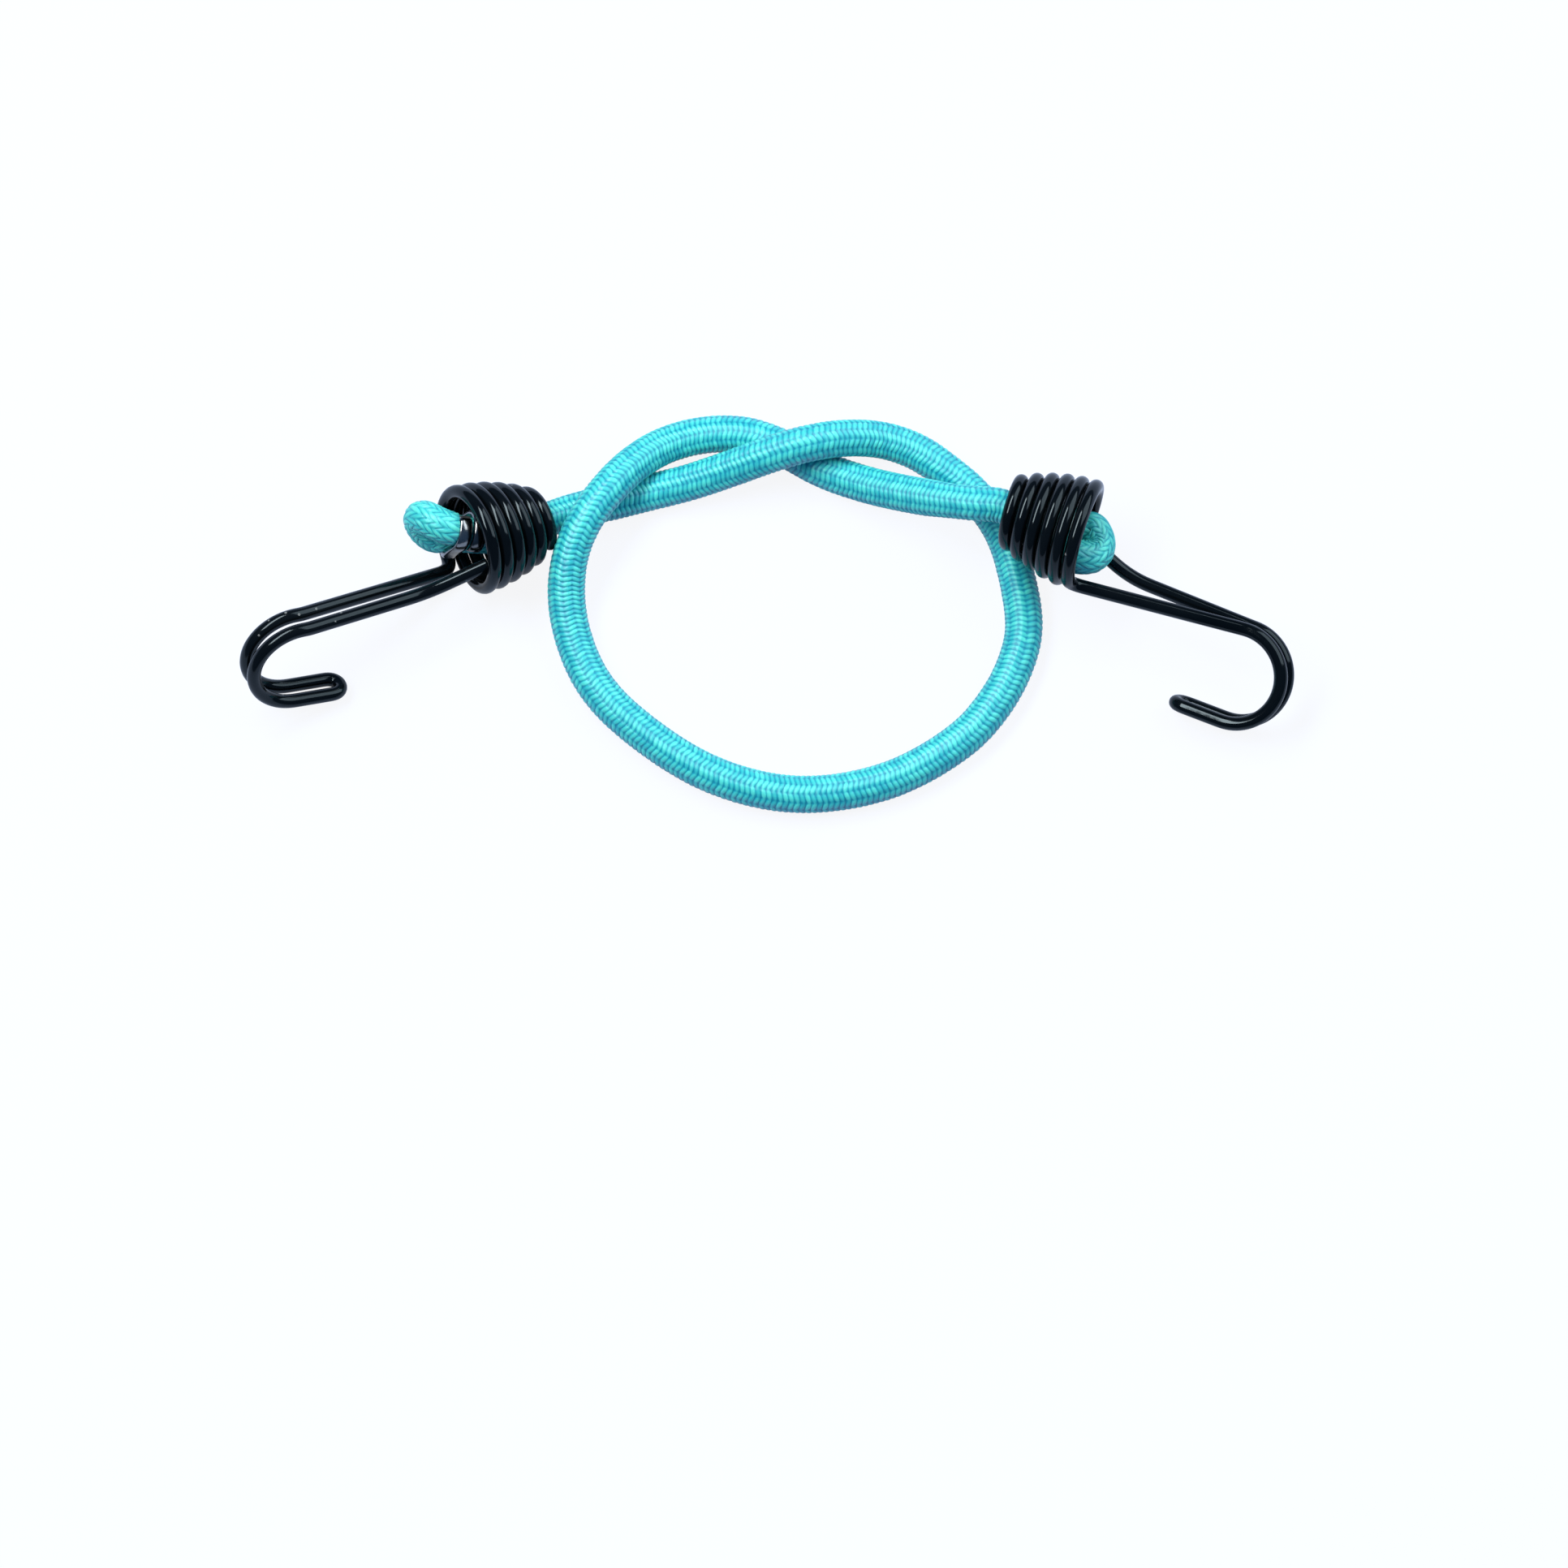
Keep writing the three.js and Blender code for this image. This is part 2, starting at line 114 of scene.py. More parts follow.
# Spacing of the points on each path, and the length over which its kinks are rounded
CORD_STEP = 0.4
CORD_SOFTEN = 0.8
FOLD_STEP = 0.2
FOLD_SOFTEN = 0.5
WIRE_STEP = 0.5
WIRE_SOFTEN = 0.7

# Fineness of the lines and the meshes
COIL_POINTS = 700
CORNER_STEPS = 12
BEND_POINTS = 90
TIP_POINTS = 40
KNEE_STEPS = 16
CLIP_POINTS = 180
LEAD_IN_STATIONS = 9
TURN_STATIONS = 13
WIRE_SIDES = 20
STRAND_SIDES = 10
FOLD_CORE_SIDES = 16
CLIP_SIDES = 28
STRAND_STRIDE = 5
FOLD_CORE_STRIDE = 3
EDGE_SHARE = 0.12

# Braid: round form of a stitch, how it overlaps its neighbours, and how the columns wander round the cord
STITCH_REACH = 1.22
STITCH_ROUND = 2.2
STITCH_END_DROP = 0.92
LOWEST_STITCH = 0.8
STITCH_SEED = 11
SPARE_STITCHES = 4
LEVEL_STITCHES = 4
ROLL_LENGTH = 37.0
HIDDEN_RELIEF = 0.4
HIDDEN_TINT = 0.5

# The two ends: place of the coil's mouth, turn of the coil, and how the cord is folded there
ENDS = {
    "left": {
        "mouth": (-65.3, 13.75, 13.777),
        "heading": math.radians(-159.2),
        "tilt": math.radians(20.5),
        "roll": math.radians(-76.9),
        "fold_reach": 13.2,
        "fold_shift": 1.4,
        "clip_x": -0.2,
        "clip_opens_at": 0.5,
        "clip_cut_back": 5.0,
        "swell": 1.3,
        "stack_angle": math.radians(-22),
        "tip_twist": 0.0,
        "lean_angle": math.radians(-118),
        "lean_slope": 0.34,
        "bend_radius": 3.6,
    },
    "right": {
        "mouth": (68.2, 13.95, 18.261),
        "heading": math.radians(-21.1),
        "tilt": math.radians(4.3),
        "roll": math.radians(-167.2),
        "fold_reach": 8.3,
        "fold_shift": 0.2,
        "clip_x": -5.2,
        "clip_opens_at": 0.25,
        "clip_cut_back": 0.0,
        "swell": 0.0,
        "stack_angle": math.radians(-20),
        "tip_twist": math.radians(-10),
        "lean_angle": math.radians(12),
        "lean_slope": 0.26,
        "bend_radius": 14.0,
    },
}

# Route of the free cord: place on the floor plan and height of its centre in cord diameters
LYING = 0.4
AXIS_START = -19.0
ROUTE = [
    (-42.5, 22.8, 0.66), (-35, 25, 0.48), (-26, 27.5, LYING), (-17.5, 29.5, 0.5), (-8.5, 31.8, 0.85),
    (0, 34, 1.28), (8, 36.2, 1.41), (16.5, 38.2, 1.13), (25, 38.8, 0.68), (32, 37, 0.45),
    (38.5, 33, LYING), (44.5, 28, LYING), (49.3, 22, LYING), (53, 14.5, LYING),
    (56.2, -3, LYING), (54, -12.5, LYING), (49, -21.5, LYING), (42, -29, LYING),
    (26, -38, LYING), (6, -41, LYING), (-13, -36.2, LYING), (-31, -24, LYING),
    (-38.4, -15.5, LYING), (-42.6, -6, 0.45), (-44.2, 3, 0.76), (-43.2, 11.5, 1.25), (-39.8, 19, 1.58),
    (-35, 25.8, 1.52), (-29.5, 32.3, 1.12), (-22.5, 37.7, 0.65), (-14, 40.5, 0.43), (-5, 40.5, LYING),
    (3.5, 37.5, LYING), (12, 32.8, LYING), (21, 29.1, 0.56), (31, 25.4, 1.14), (39, 22.8, 1.72),
    (45.2, 21.4, 2.02),
]


# Small sums
def vec(*values):
    return np.array(values, float)


def unit(v):
    return v / np.linalg.norm(v, axis=-1, keepdims=True)


def smoothstep(x, low, high):
    t = np.clip((np.asarray(x, float) - low) / (high - low), 0, 1)
    return t * t * (3 - 2 * t)


def gentle_step(x, low, high):
    t = np.clip((x - low) / (high - low), 0, 1)
    return 2 * t**2 if t < 0.5 else 1 - 2 * (1 - t) ** 2


def spline_through(points, per_span=40):
    """Centripetal Catmull-Rom curve through the points, closely sampled."""
    p = np.vstack([2 * points[0] - points[1], points, 2 * points[-1] - points[-2]])
    step = np.sqrt(np.linalg.norm(np.diff(p, axis=0), axis=1))
    t = np.linspace(0, 1, per_span, endpoint=False)[:, None]
    spans = []
    for i in range(1, len(p) - 2):
        d0, d1, d2 = step[i - 1], step[i], step[i + 1]
        m1 = d1 * ((p[i] - p[i - 1]) / d0 - (p[i + 1] - p[i - 1]) / (d0 + d1) + (p[i + 1] - p[i]) / d1)
        m2 = d1 * ((p[i + 1] - p[i]) / d1 - (p[i + 2] - p[i]) / (d1 + d2) + (p[i + 2] - p[i + 1]) / d2)
        a = 2 * p[i] - 2 * p[i + 1] + m1 + m2
        b = -3 * p[i] + 3 * p[i + 1] - 2 * m1 - m2
        spans.append(a * t**3 + b * t**2 + m1 * t + p[i])
    return np.vstack([*spans, p[-2:-1]])


def lengths_along(points):
    return np.concatenate([[0], np.cumsum(np.linalg.norm(np.diff(points, axis=0), axis=1))])


def resampled(values, along, at):
    """Rows of values, given at lengths along a path, read at other lengths of any shape."""
    return np.stack([np.interp(at, along, column) for column in values.T], axis=-1)


def even_path(points, spacing, soften):
    """The path at even spacing, with its kinks rounded over about the length given by soften."""
    along = lengths_along(points)
    count = max(int(round(along[-1] / spacing)), 2)
    even = resampled(points, along, np.linspace(0, along[-1], count + 1))
    for _ in range(int(round(2 * (soften / spacing) ** 2))):
        even[1:-1] = (even[:-2] + 2 * even[1:-1] + even[2:]) / 4
    return even


def tangents_of(points):
    return unit(np.gradient(points, axis=0))


def carried_frames(points):
    """Directions square to a path that turn with it as little as possible."""
    along = tangents_of(points)
    first = np.empty_like(points)
    guess = np.eye(3)[np.argmin(np.abs(along[0]))]
    for i, t in enumerate(along):
        guess = guess - t * (guess @ t)
        guess = guess / np.linalg.norm(guess)
        first[i] = guess
    return first, np.cross(along, first)


def framed(points, reference):
    along = tangents_of(points)
    first = unit(reference - along * np.sum(reference * along, axis=1, keepdims=True))
    return first, np.cross(along, first)


def end_matrix(end):
    """Turn of an end's own frame into the row frame."""
    def turn(axis, angle):
        i, j = [(1, 2), (2, 0), (0, 1)][axis]
        m = np.eye(3)
        m[i, i] = m[j, j] = math.cos(angle)
        m[i, j], m[j, i] = -math.sin(angle), math.sin(angle)
        return m
    return turn(2, end["heading"]) @ turn(1, -end["tilt"]) @ turn(0, end["roll"])


def to_row_frame(end, points):
    return points @ end_matrix(end).T + vec(*end["mouth"])


# Meshes
def grid_quads(rings, sides, first=0, inward=False):
    i, j = np.meshgrid(np.arange(rings - 1), np.arange(sides), indexing="ij")
    k = (j + 1) % sides
    quads = np.stack([i * sides + j, i * sides + k, (i + 1) * sides + k, (i + 1) * sides + j], axis=-1)
    quads = quads.reshape(-1, 4) + first
    return quads[:, ::-1] if inward else quads


def new_object(name, points, faces, materials, slots=None):
    mesh = bpy.data.meshes.new(name)
    mesh.from_pydata((points * MM).tolist(), [], [list(map(int, face)) for face in faces])
    mesh.shade_smooth()
    for material in materials:
        mesh.materials.append(material)
    if slots is not None:
        mesh.polygons.foreach_set("material_index", np.asarray(slots, np.int32))
    mesh.update()
    piece = bpy.data.objects.new(name, mesh)
    bpy.context.scene.collection.objects.link(piece)
    return piece


def number_on_points(piece, name, values):
    attribute = piece.data.attributes.new(name, "FLOAT", "POINT")
    attribute.data.foreach_set("value", np.asarray(values, np.float32))


def map_on_corners(piece, name, corners):
    layer = piece.data.uv_layers.new(name=name)
    layer.data.foreach_set("uv", np.asarray(corners, np.float32).ravel())


def round_tube(name, points, radius, sides, materials, end_slot=0):
    """Solid round rod along a path, with slightly broken edges at its two cut ends."""
    first, second = carried_frames(points)
    angles = np.linspace(0, 2 * np.pi, sides, endpoint=False)
    circle = np.stack([np.cos(angles), np.sin(angles)])
    spokes = first[:, None] * circle[0][:, None] + second[:, None] * circle[1][:, None]
    along = tangents_of(points)
    edge = EDGE_SHARE * radius
    inset = [points[:1], points[:1] + along[:1] * edge]
    outset = [points[-1:] - along[-1:] * edge, points[-1:]]
    centres = np.vstack([*inset, points[1:-1], *outset])
    spokes = np.concatenate([spokes[:1] * (1 - edge / radius), spokes, spokes[-1:] * (1 - edge / radius)])
    rings = centres[:, None] + radius * spokes
    count = len(rings)
    faces = grid_quads(count, sides).tolist()
    slots = [0] * len(faces)
    last = (count - 1) * sides
    faces += [list(range(sides))[::-1], list(range(last, last + sides))]
    slots += [end_slot, end_slot]
    return new_object(name, rings.reshape(-1, 3), faces, materials, slots)


# Materials
def add_node(tree, kind, inputs=None, **settings):
    node = tree.nodes.new(kind)
    for key, value in settings.items():
        setattr(node, key, value)
    for key, value in (inputs or {}).items():
        socket = node.inputs[key]
        if isinstance(value, bpy.types.NodeSocket):
            tree.links.new(value, socket)
        else:
            socket.default_value = value
    return node


def new_material(name):
    material = bpy.data.materials.new(name)
    material.use_nodes = True
    return material, material.node_tree, material.node_tree.nodes["Principled BSDF"]


def maths(tree, operation, *values):
    return add_node(tree, "ShaderNodeMath", dict(enumerate(values)), operation=operation).outputs[0]


def sloped(tree, value, slope, base):
    return maths(tree, "ADD", maths(tree, "MULTIPLY", value, slope), base)


def swing(tree, value, amount):
    return maths(tree, "MULTIPLY", maths(tree, "SUBTRACT", value, 0.5), amount)


def noise(tree, place, scale, detail):
    inputs = {"Vector": place, "Scale": scale, "Detail": detail}
    return add_node(tree, "ShaderNodeTexNoise", inputs).outputs["Fac"]


def add_bump(tree, shader, height, strength, distance):
    bump = add_node(tree, "ShaderNodeBump", {"Height": height, "Strength": strength, "Distance": distance})
    tree.links.new(bump.outputs["Normal"], shader.inputs["Normal"])


def set_inputs(shader, values):
    for key, value in values.items():
        shader.inputs[key].default_value = value


def colour_steps(tree, factor, steps):
    node = add_node(tree, "ShaderNodeValToRGB", {"Fac": factor})
    elements = node.color_ramp.elements
    while len(elements) < len(steps):
        elements.new(0.5)
    for element, (place, colour) in zip(elements, steps):
        element.position = place
        element.color = (*colour, 1)
    return node.outputs["Color"]


def braid_material(name, valley_shade, flank, crest_highlight):
    """Satin braid with painted shade, darker and bluer, in the valleys between the stitches and a painted
    highlight, lighter and greener, on their crests. Each stitch is a little different, and fine filaments run
    along it."""
    material, tree, shader = new_material(name)
    relief = add_node(tree, "ShaderNodeAttribute", attribute_name="relief").outputs["Fac"]
    tint = add_node(tree, "ShaderNodeAttribute", attribute_name="tint").outputs["Fac"]
    braid_map = add_node(tree, "ShaderNodeUVMap", uv_map="braid").outputs["UV"]
    stretch = add_node(tree, "ShaderNodeMapping", {"Vector": braid_map, "Scale": (1.3, 9.0, 1.0)})
    filaments = add_node(tree, "ShaderNodeTexNoise",
                         {"Vector": stretch.outputs["Vector"], "Scale": 1.0, "Detail": 3.0, "Roughness": 0.6},
                         noise_dimensions="2D").outputs["Fac"]
    soiling = add_node(tree, "ShaderNodeTexNoise", {"Scale": 90.0, "Detail": 2.0}).outputs["Fac"]
    # Stitch height paints shade into the valleys and a highlight onto the crests; tint, filaments and soiling
    # add each stitch's own random tone
    shade = relief
    for part, amount in ((tint, 0.3), (filaments, 0.35), (soiling, 0.15)):
        shade = maths(tree, "ADD", shade, swing(tree, part, amount))
    colour = colour_steps(tree, shade, [(0.15, valley_shade), (0.55, flank), (0.95, crest_highlight)])
    tree.links.new(colour, shader.inputs["Base Color"])
    tree.links.new(sloped(tree, filaments, 0.25, 0.22), shader.inputs["Roughness"])
    add_bump(tree, shader, filaments, 0.35, 0.0001)
    threads = add_node(tree, "ShaderNodeTangent", direction_type="UV_MAP", uv_map="braid").outputs["Tangent"]
    tree.links.new(threads, shader.inputs["Tangent"])
    set_inputs(shader, {
        "Anisotropic": 0.85, "Anisotropic Rotation": 0.25,
        "Specular IOR Level": 0.8, "Specular Tint": (0.6, 1.0, 0.93, 1.0),
        "Sheen Weight": 0.05, "Sheen Roughness": 0.4, "Sheen Tint": (0.55, 0.9, 1.0, 1.0),
    })
    return material


def coated_wire_material():
    """Black baked coating: glossy, faintly uneven, with a few pale specks of dust and rubbed spots."""
    material, tree, shader = new_material("coated_wire")
    place = add_node(tree, "ShaderNodeTexCoord").outputs["Object"]
    uneven = noise(tree, place, 260.0, 2.0)
    patches = noise(tree, place, 55.0, 3.0)
    specks = add_node(tree, "ShaderNodeTexVoronoi", {"Vector": place, "Scale": 420.0}).outputs["Distance"]
    speck_size = 0.13
    specks_above = 0.6
    near = maths(tree, "LESS_THAN", specks, speck_size)
    chosen = maths(tree, "GREATER_THAN", patches, specks_above)
    speck = maths(tree, "MULTIPLY", near, chosen)
    black = colour_steps(tree, patches, [(0.3, (0.0010, 0.0018, 0.0025)), (0.7, (0.0030, 0.0045, 0.0058))])
    colour = add_node(tree, "ShaderNodeMix", {0: speck, 6: black, 7: (0.16, 0.17, 0.17, 1)}, data_type="RGBA")
    tree.links.new(colour.outputs[2], shader.inputs["Base Color"])
    rough = sloped(tree, patches, 0.08, 0.07)
    tree.links.new(sloped(tree, speck, 0.4, rough), shader.inputs["Roughness"])
    add_bump(tree, shader, uneven, 0.12, 0.0002)
    set_inputs(shader, {"Specular IOR Level": 0.32, "Specular Tint": (0.72, 0.9, 1.0, 1.0)})
    return material


def steel_material(name, dark, bright, least_rough):
    material, tree, shader = new_material(name)
    place = add_node(tree, "ShaderNodeTexCoord").outputs["Object"]
    drawn = noise(tree, place, 900.0, 3.0)
    patches = noise(tree, place, 210.0, 4.0)
    tree.links.new(colour_steps(tree, patches, [(0.35, dark), (0.65, bright)]), shader.inputs["Base Color"])
    tree.links.new(sloped(tree, patches, 0.25, least_rough), shader.inputs["Roughness"])
    add_bump(tree, shader, drawn, 0.15, 0.0002)
    set_inputs(shader, {"Metallic": 1.0})
    return material


def rubber_material():
    material, tree, shader = new_material("rubber")
    place = add_node(tree, "ShaderNodeTexCoord").outputs["Object"]
    dusty = noise(tree, place, 350.0, 4.0)
    colour = colour_steps(tree, dusty, [(0.3, (0.50, 0.40, 0.24)), (0.7, (0.72, 0.62, 0.43))])
    tree.links.new(colour, shader.inputs["Base Color"])
    tree.links.new(sloped(tree, dusty, 0.2, 0.6), shader.inputs["Roughness"])
    add_bump(tree, shader, dusty, 0.2, 0.0002)
    return material


# Braid colours: valley as painted shade, flank as the braid's own colour, crest as painted highlight
BRAID = braid_material("braid", (0.010, 0.290, 0.440), (0.036, 0.530, 0.590), (0.100, 0.780, 0.710))
FOLD_BRAID = braid_material("fold_braid", (0.016, 0.330, 0.440), (0.046, 0.560, 0.580), (0.120, 0.820, 0.710))
COATED_WIRE = coated_wire_material()
STEEL = steel_material("steel", (0.120, 0.125, 0.130), (0.340, 0.350, 0.360), 0.05)
CUT_STEEL = steel_material("cut_steel", (0.50, 0.51, 0.52), (0.80, 0.81, 0.81), 0.3)
RUBBER = rubber_material()


# Braided tube
def pressed_by(points, line, distance):
    """Points moved straight away from a line until none is nearer to it than the distance."""
    flat = points.reshape(-1, 3)
    offsets = flat[:, None] - line[None]
    distances = np.linalg.norm(offsets, axis=2)
    nearest = distances.argmin(axis=1)
    rows = np.arange(len(flat))
    reach = distances[rows, nearest][:, None]
    moved = flat + offsets[rows, nearest] / reach * np.maximum(distance - reach, 0)
    return moved.reshape(points.shape)


def pressed_by_itself(outer, centre, at, points, along):
    """The outside of a cord that gives way by half where it comes close to another stretch of itself."""
    apart = np.linalg.norm(points[:, None] - points[None], axis=2)
    apart[np.abs(along[:, None] - along[None]) < OWN_STRETCH] = np.inf
    place = np.searchsorted(along, at).clip(0, len(points) - 1)
    close = apart.min(axis=1)[place] < PRESS_WITHIN
    rows = place[close]
    window = np.arange(-PRESS_WINDOW, PRESS_WINDOW + 1)
    others = points[(apart.argmin(axis=1)[rows, None] + window).clip(0, len(points) - 1)]
    from_own = np.linalg.norm(others - centre[close][:, None], axis=2).min(axis=1)
    offsets = outer[close][:, None] - others
    distances = np.linalg.norm(offsets, axis=2)
    nearest = distances.argmin(axis=1)
    each = np.arange(len(rows))
    reach = distances[each, nearest][:, None]
    least = from_own[:, None] / 2 + PRESS_GAP
    pressed = outer.copy()
    pressed[close] += offsets[each, nearest] / reach * np.maximum(least - reach, 0)
    return pressed


def stitch_pattern(across, along, weave):
    """Height of the braid's surface, from 0 to 1, and a number for each stitch. Across counts columns
    round the cord and along counts stitches on the slanted lines of each column."""
    columns, slant = weave["columns"], weave["slant"]
    column = np.floor(across).astype(int)
    u = across - column
    stitches = int(np.ceil(along.max())) + SPARE_STITCHES
    lot = np.random.default_rng(STITCH_SEED).random((columns, stitches))
    shift = 0.5 if weave["interleaved"] else 0.0

    def height(which, place, run):
        run = run + shift * (which % 2)
        count = np.floor(run).astype(int)
        b = 2 * (run - count) - 1
        own = lot[which % columns, (count + SPARE_STITCHES // 2) % stitches]
        across_drop = np.abs(place / STITCH_REACH) ** STITCH_ROUND
        body = 1 - across_drop - STITCH_END_DROP * np.abs(b) ** STITCH_ROUND
        return np.sqrt(np.clip(body, 0, 1)) * (LOWEST_STITCH + (1 - LOWEST_STITCH) * own), own

    own_height, own_lot = height(column, 2 * u - 1, along)
    side = np.where(u >= 0.5, 1, -1)
    inside = np.where(u >= 0.5, 1 - u, u)
    lean = -np.where(column % 2 == 0, 1, -1) * side
    next_height, next_lot = height(column + side, 1 + 2 * inside, along + lean * slant * 2 * inside)
    taken = next_height > own_height
    return np.where(taken, next_height, own_height), np.where(taken, next_lot, own_lot)


def braid_grid(total, weave):
    """Columns and stitches at the lines of a sheath's mesh, and lengths along its path at the mesh's points.
    The lines follow the slant of the stitches and level out towards both ends."""
    columns = weave["columns"]
    across = (np.arange(columns)[:, None] + np.array(weave["per_column"])).ravel()
    stitches = int(round(total / weave["stitch"]))
    run = (np.arange(stitches)[:, None] + np.array(weave["per_stitch"])).ravel()
    run = np.append(run, stitches)
    column = np.floor(across)
    u = across - column
    zigzag = np.where(column % 2 == 0, u - 0.5, 0.5 - u) * weave["slant"]
    stitch = total / stitches
    level = run * stitch
    levelling = LEVEL_STITCHES * stitch
    fade = smoothstep(level, 0, levelling) * smoothstep(total - level, 0, levelling)
    at = np.clip(level[:, None] + zigzag * stitch * fade[:, None], 0, total)
    return across, run, at


def sheath_spokes(first, second, along, at, across, weave):
    angle = 2 * np.pi * across / weave["columns"] + weave["roll"] * np.sin(at / ROLL_LENGTH)
    return unit(resampled(first, along, at) * np.cos(angle)[..., None]
                + resampled(second, along, at) * np.sin(angle)[..., None])


def sheath_faces(rings, inner_rings, sides):
    """Faces of a hollow tube: those of its outside, and those of its inside and its two ends."""
    inner_first = rings * sides
    last = inner_first - sides
    inner_last = inner_first + (inner_rings - 1) * sides
    j = np.arange(sides)
    k = (j + 1) % sides
    outside = grid_quads(rings, sides)
    inside = grid_quads(inner_rings, sides, inner_first, inward=True)
    start = np.stack([inner_first + j, inner_first + k, k, j], axis=-1)
    finish = np.stack([last + j, last + k, inner_last + k, inner_last + j], axis=-1)
    return outside, np.vstack([inside, start, finish])


def map_sheath(piece, outside, hidden, across, run, weave):
    """Two maps: one counts columns and stitches, the other lays the sheath out flat in strips."""
    columns, strips, sides = weave["columns"], weave["strips"], len(across)
    ring_of = outside // sides
    side_of = outside % sides
    wraps = (side_of == 0) & (side_of.max(axis=1, keepdims=True) == sides - 1)
    columns_at = np.where(wraps, columns, across[side_of])
    counted = np.stack([columns_at, run[ring_of]], axis=-1)
    rest = len(hidden)
    map_on_corners(piece, "braid", np.concatenate([counted, np.full((rest, 4, 2), 0.5)]))

    # Margins keep the strips apart; the inside and the ends share the last strip
    margin, width = 0.02, 0.94
    hidden_margin, hidden_width = 0.05, 0.9
    foot, height = 0.01, 0.98
    per_strip = (len(run) - 1) / strips
    strip = np.minimum(ring_of.min(axis=1, keepdims=True) // per_strip, strips - 1)
    flat_u = (strip + margin + width * columns_at / columns) / (strips + 1)
    flat_v = foot + height * (ring_of - strip * per_strip) / (per_strip + 1)
    hidden_u = (strips + hidden_margin + hidden_width * (hidden % sides / sides)) / (strips + 1)
    hidden_v = foot + height * (np.arange(rest)[:, None] + np.array([0, 0, 1, 1])) / (rest + 1)
    laid_out = np.stack([flat_u, flat_v], axis=-1)
    map_on_corners(piece, "OFBake", np.concatenate([laid_out, np.stack([hidden_u, hidden_v], axis=-1)]))


def braided_tube(name, points, first, second, diameters, weave, material, on_floor=False, against=None):
    """Hollow braided sheath along a path. On the floor it lies flat and gives way where it crosses itself,
    and a wire that it lies against presses it in."""
    along = lengths_along(points)
    total = along[-1]
    across, run, at = braid_grid(total, weave)
    grid_across = np.broadcast_to(across, at.shape)
    grid_run = np.broadcast_to(run[:, None], at.shape)
    relief, tint = stitch_pattern(grid_across, grid_run, weave)
    centre = resampled(points, along, at)
    radius = np.interp(at, along, diameters) / 2 + weave["proud"] - weave["depth"] * (1 - relief)
    outer = centre + sheath_spokes(first, second, along, at, across, weave) * radius[..., None]

    sides = len(across)
    inner_at = np.linspace(0, total, int(total / weave["inner_step"]))[:, None] + np.zeros(sides)
    inner_radius = np.interp(inner_at, along, diameters) / 2 - SHEATH_WALL
    inner_spokes = sheath_spokes(first, second, along, inner_at, across, weave)
    inner = resampled(points, along, inner_at) + inner_spokes * inner_radius[..., None]
    if on_floor:
        outer = pressed_by_itself(outer, centre, at, points, along)
        outer[..., 2] = np.maximum(outer[..., 2], 0)
        inner[..., 2] = np.maximum(inner[..., 2], INSIDE_ABOVE_FLOOR)
    if against is not None:
        outer = pressed_by(outer, against, WIRE_DIAMETER / 2 + WIRE_PRESS_GAP)

    outside, hidden = sheath_faces(len(outer), len(inner), sides)
    vertices = np.vstack([outer.reshape(-1, 3), inner.reshape(-1, 3)])
    piece = new_object(name, vertices, np.vstack([outside, hidden]), [material])
    unseen = np.zeros(len(inner) * sides)
    # The stitch height also sets the braid's painted shade in the valleys and painted highlight on the crests
    number_on_points(piece, "relief", np.concatenate([relief.ravel(), unseen + HIDDEN_RELIEF]))
    number_on_points(piece, "tint", np.concatenate([tint.ravel(), unseen + HIDDEN_TINT]))
    map_sheath(piece, outside, hidden, across, run, weave)
    return piece


CORD_WEAVE = {
    "columns": 12, "per_column": (0.0, 0.2, 0.5, 0.8), "per_stitch": (0.0, 0.13, 0.36, 0.64, 0.87),
    "stitch": 1.18, "slant": 0.5, "interleaved": False, "depth": 0.3, "proud": 0.2, "roll": 0.35,
    "inner_step": 4.0, "strips": 4,
}
FOLD_WEAVE = {
    "columns": 16, "per_column": (0.0, 0.17, 0.33, 0.5, 0.67, 0.83),
    "per_stitch": (0.0, 0.125, 0.25, 0.375, 0.5, 0.625, 0.75, 0.875),
    "stitch": 1.5, "slant": 0.9, "interleaved": True, "depth": 0.3, "proud": 0.0, "roll": 0.0,
    "inner_step": 0.8, "strips": 1,
}


# Free cord: sheath and rubber strands along one route
def make_cord():
    def on_axis(side, x):
        return to_row_frame(ENDS[side], vec(x, 0, 0))
    middle = [vec(x, y, height * CORD_DIAMETER) for x, y, height in ROUTE]
    start = [on_axis("left", FOLD_START), on_axis("left", AXIS_START)]
    finish = [on_axis("right", AXIS_START), on_axis("right", FOLD_START)]
    points = even_path(spline_through(np.array(start + middle + finish)), CORD_STEP, CORD_SOFTEN)
    level = np.cross(tangents_of(points), vec(0, 0, 1))
    first, second = framed(points, level)
    thin = smoothstep(points[:, 1], 0, THIN_ABOVE)
    full = smoothstep(np.abs(points[:, 0]), TAIL_BEYOND, FULL_WITHIN)
    diameters = CORD_DIAMETER + (TAIL_DIAMETER - CORD_DIAMETER + FULLER * full) * thin
    coil_end = wire_line("left")[:COIL_END_POINTS]
    sheath = braided_tube("braided_sheath", points, first, second, diameters, CORD_WEAVE, BRAID,
                          on_floor=True, against=coil_end)
    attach(sheath, "cord")
    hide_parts("cord_sheath")

    coarse = points[::STRAND_STRIDE]
    first, second = first[::STRAND_STRIDE], second[::STRAND_STRIDE]
    middle_strand = STRANDS - 1
    for i in range(STRANDS):
        turn = 2 * math.pi * i / middle_strand
        out = 0 if i == middle_strand else STRAND_CIRCLE
        line = coarse + out * (math.cos(turn) * first + math.sin(turn) * second)
        strand = round_tube(f"rubber_strand_{i + 1}", line, STRAND_RADIUS, STRAND_SIDES, [RUBBER])
        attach(strand, "cord")
        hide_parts(f"core_strand_{i + 1}")


# Hook wire
def rounded_corner(start, corner, finish, steps):
    t = np.linspace(0, 1, steps + 1)[:, None]
    return (1 - t) ** 2 * start + 2 * t * (1 - t) * corner + t**2 * finish


def towards(start, finish, distance):
    return start + unit(finish - start) * distance


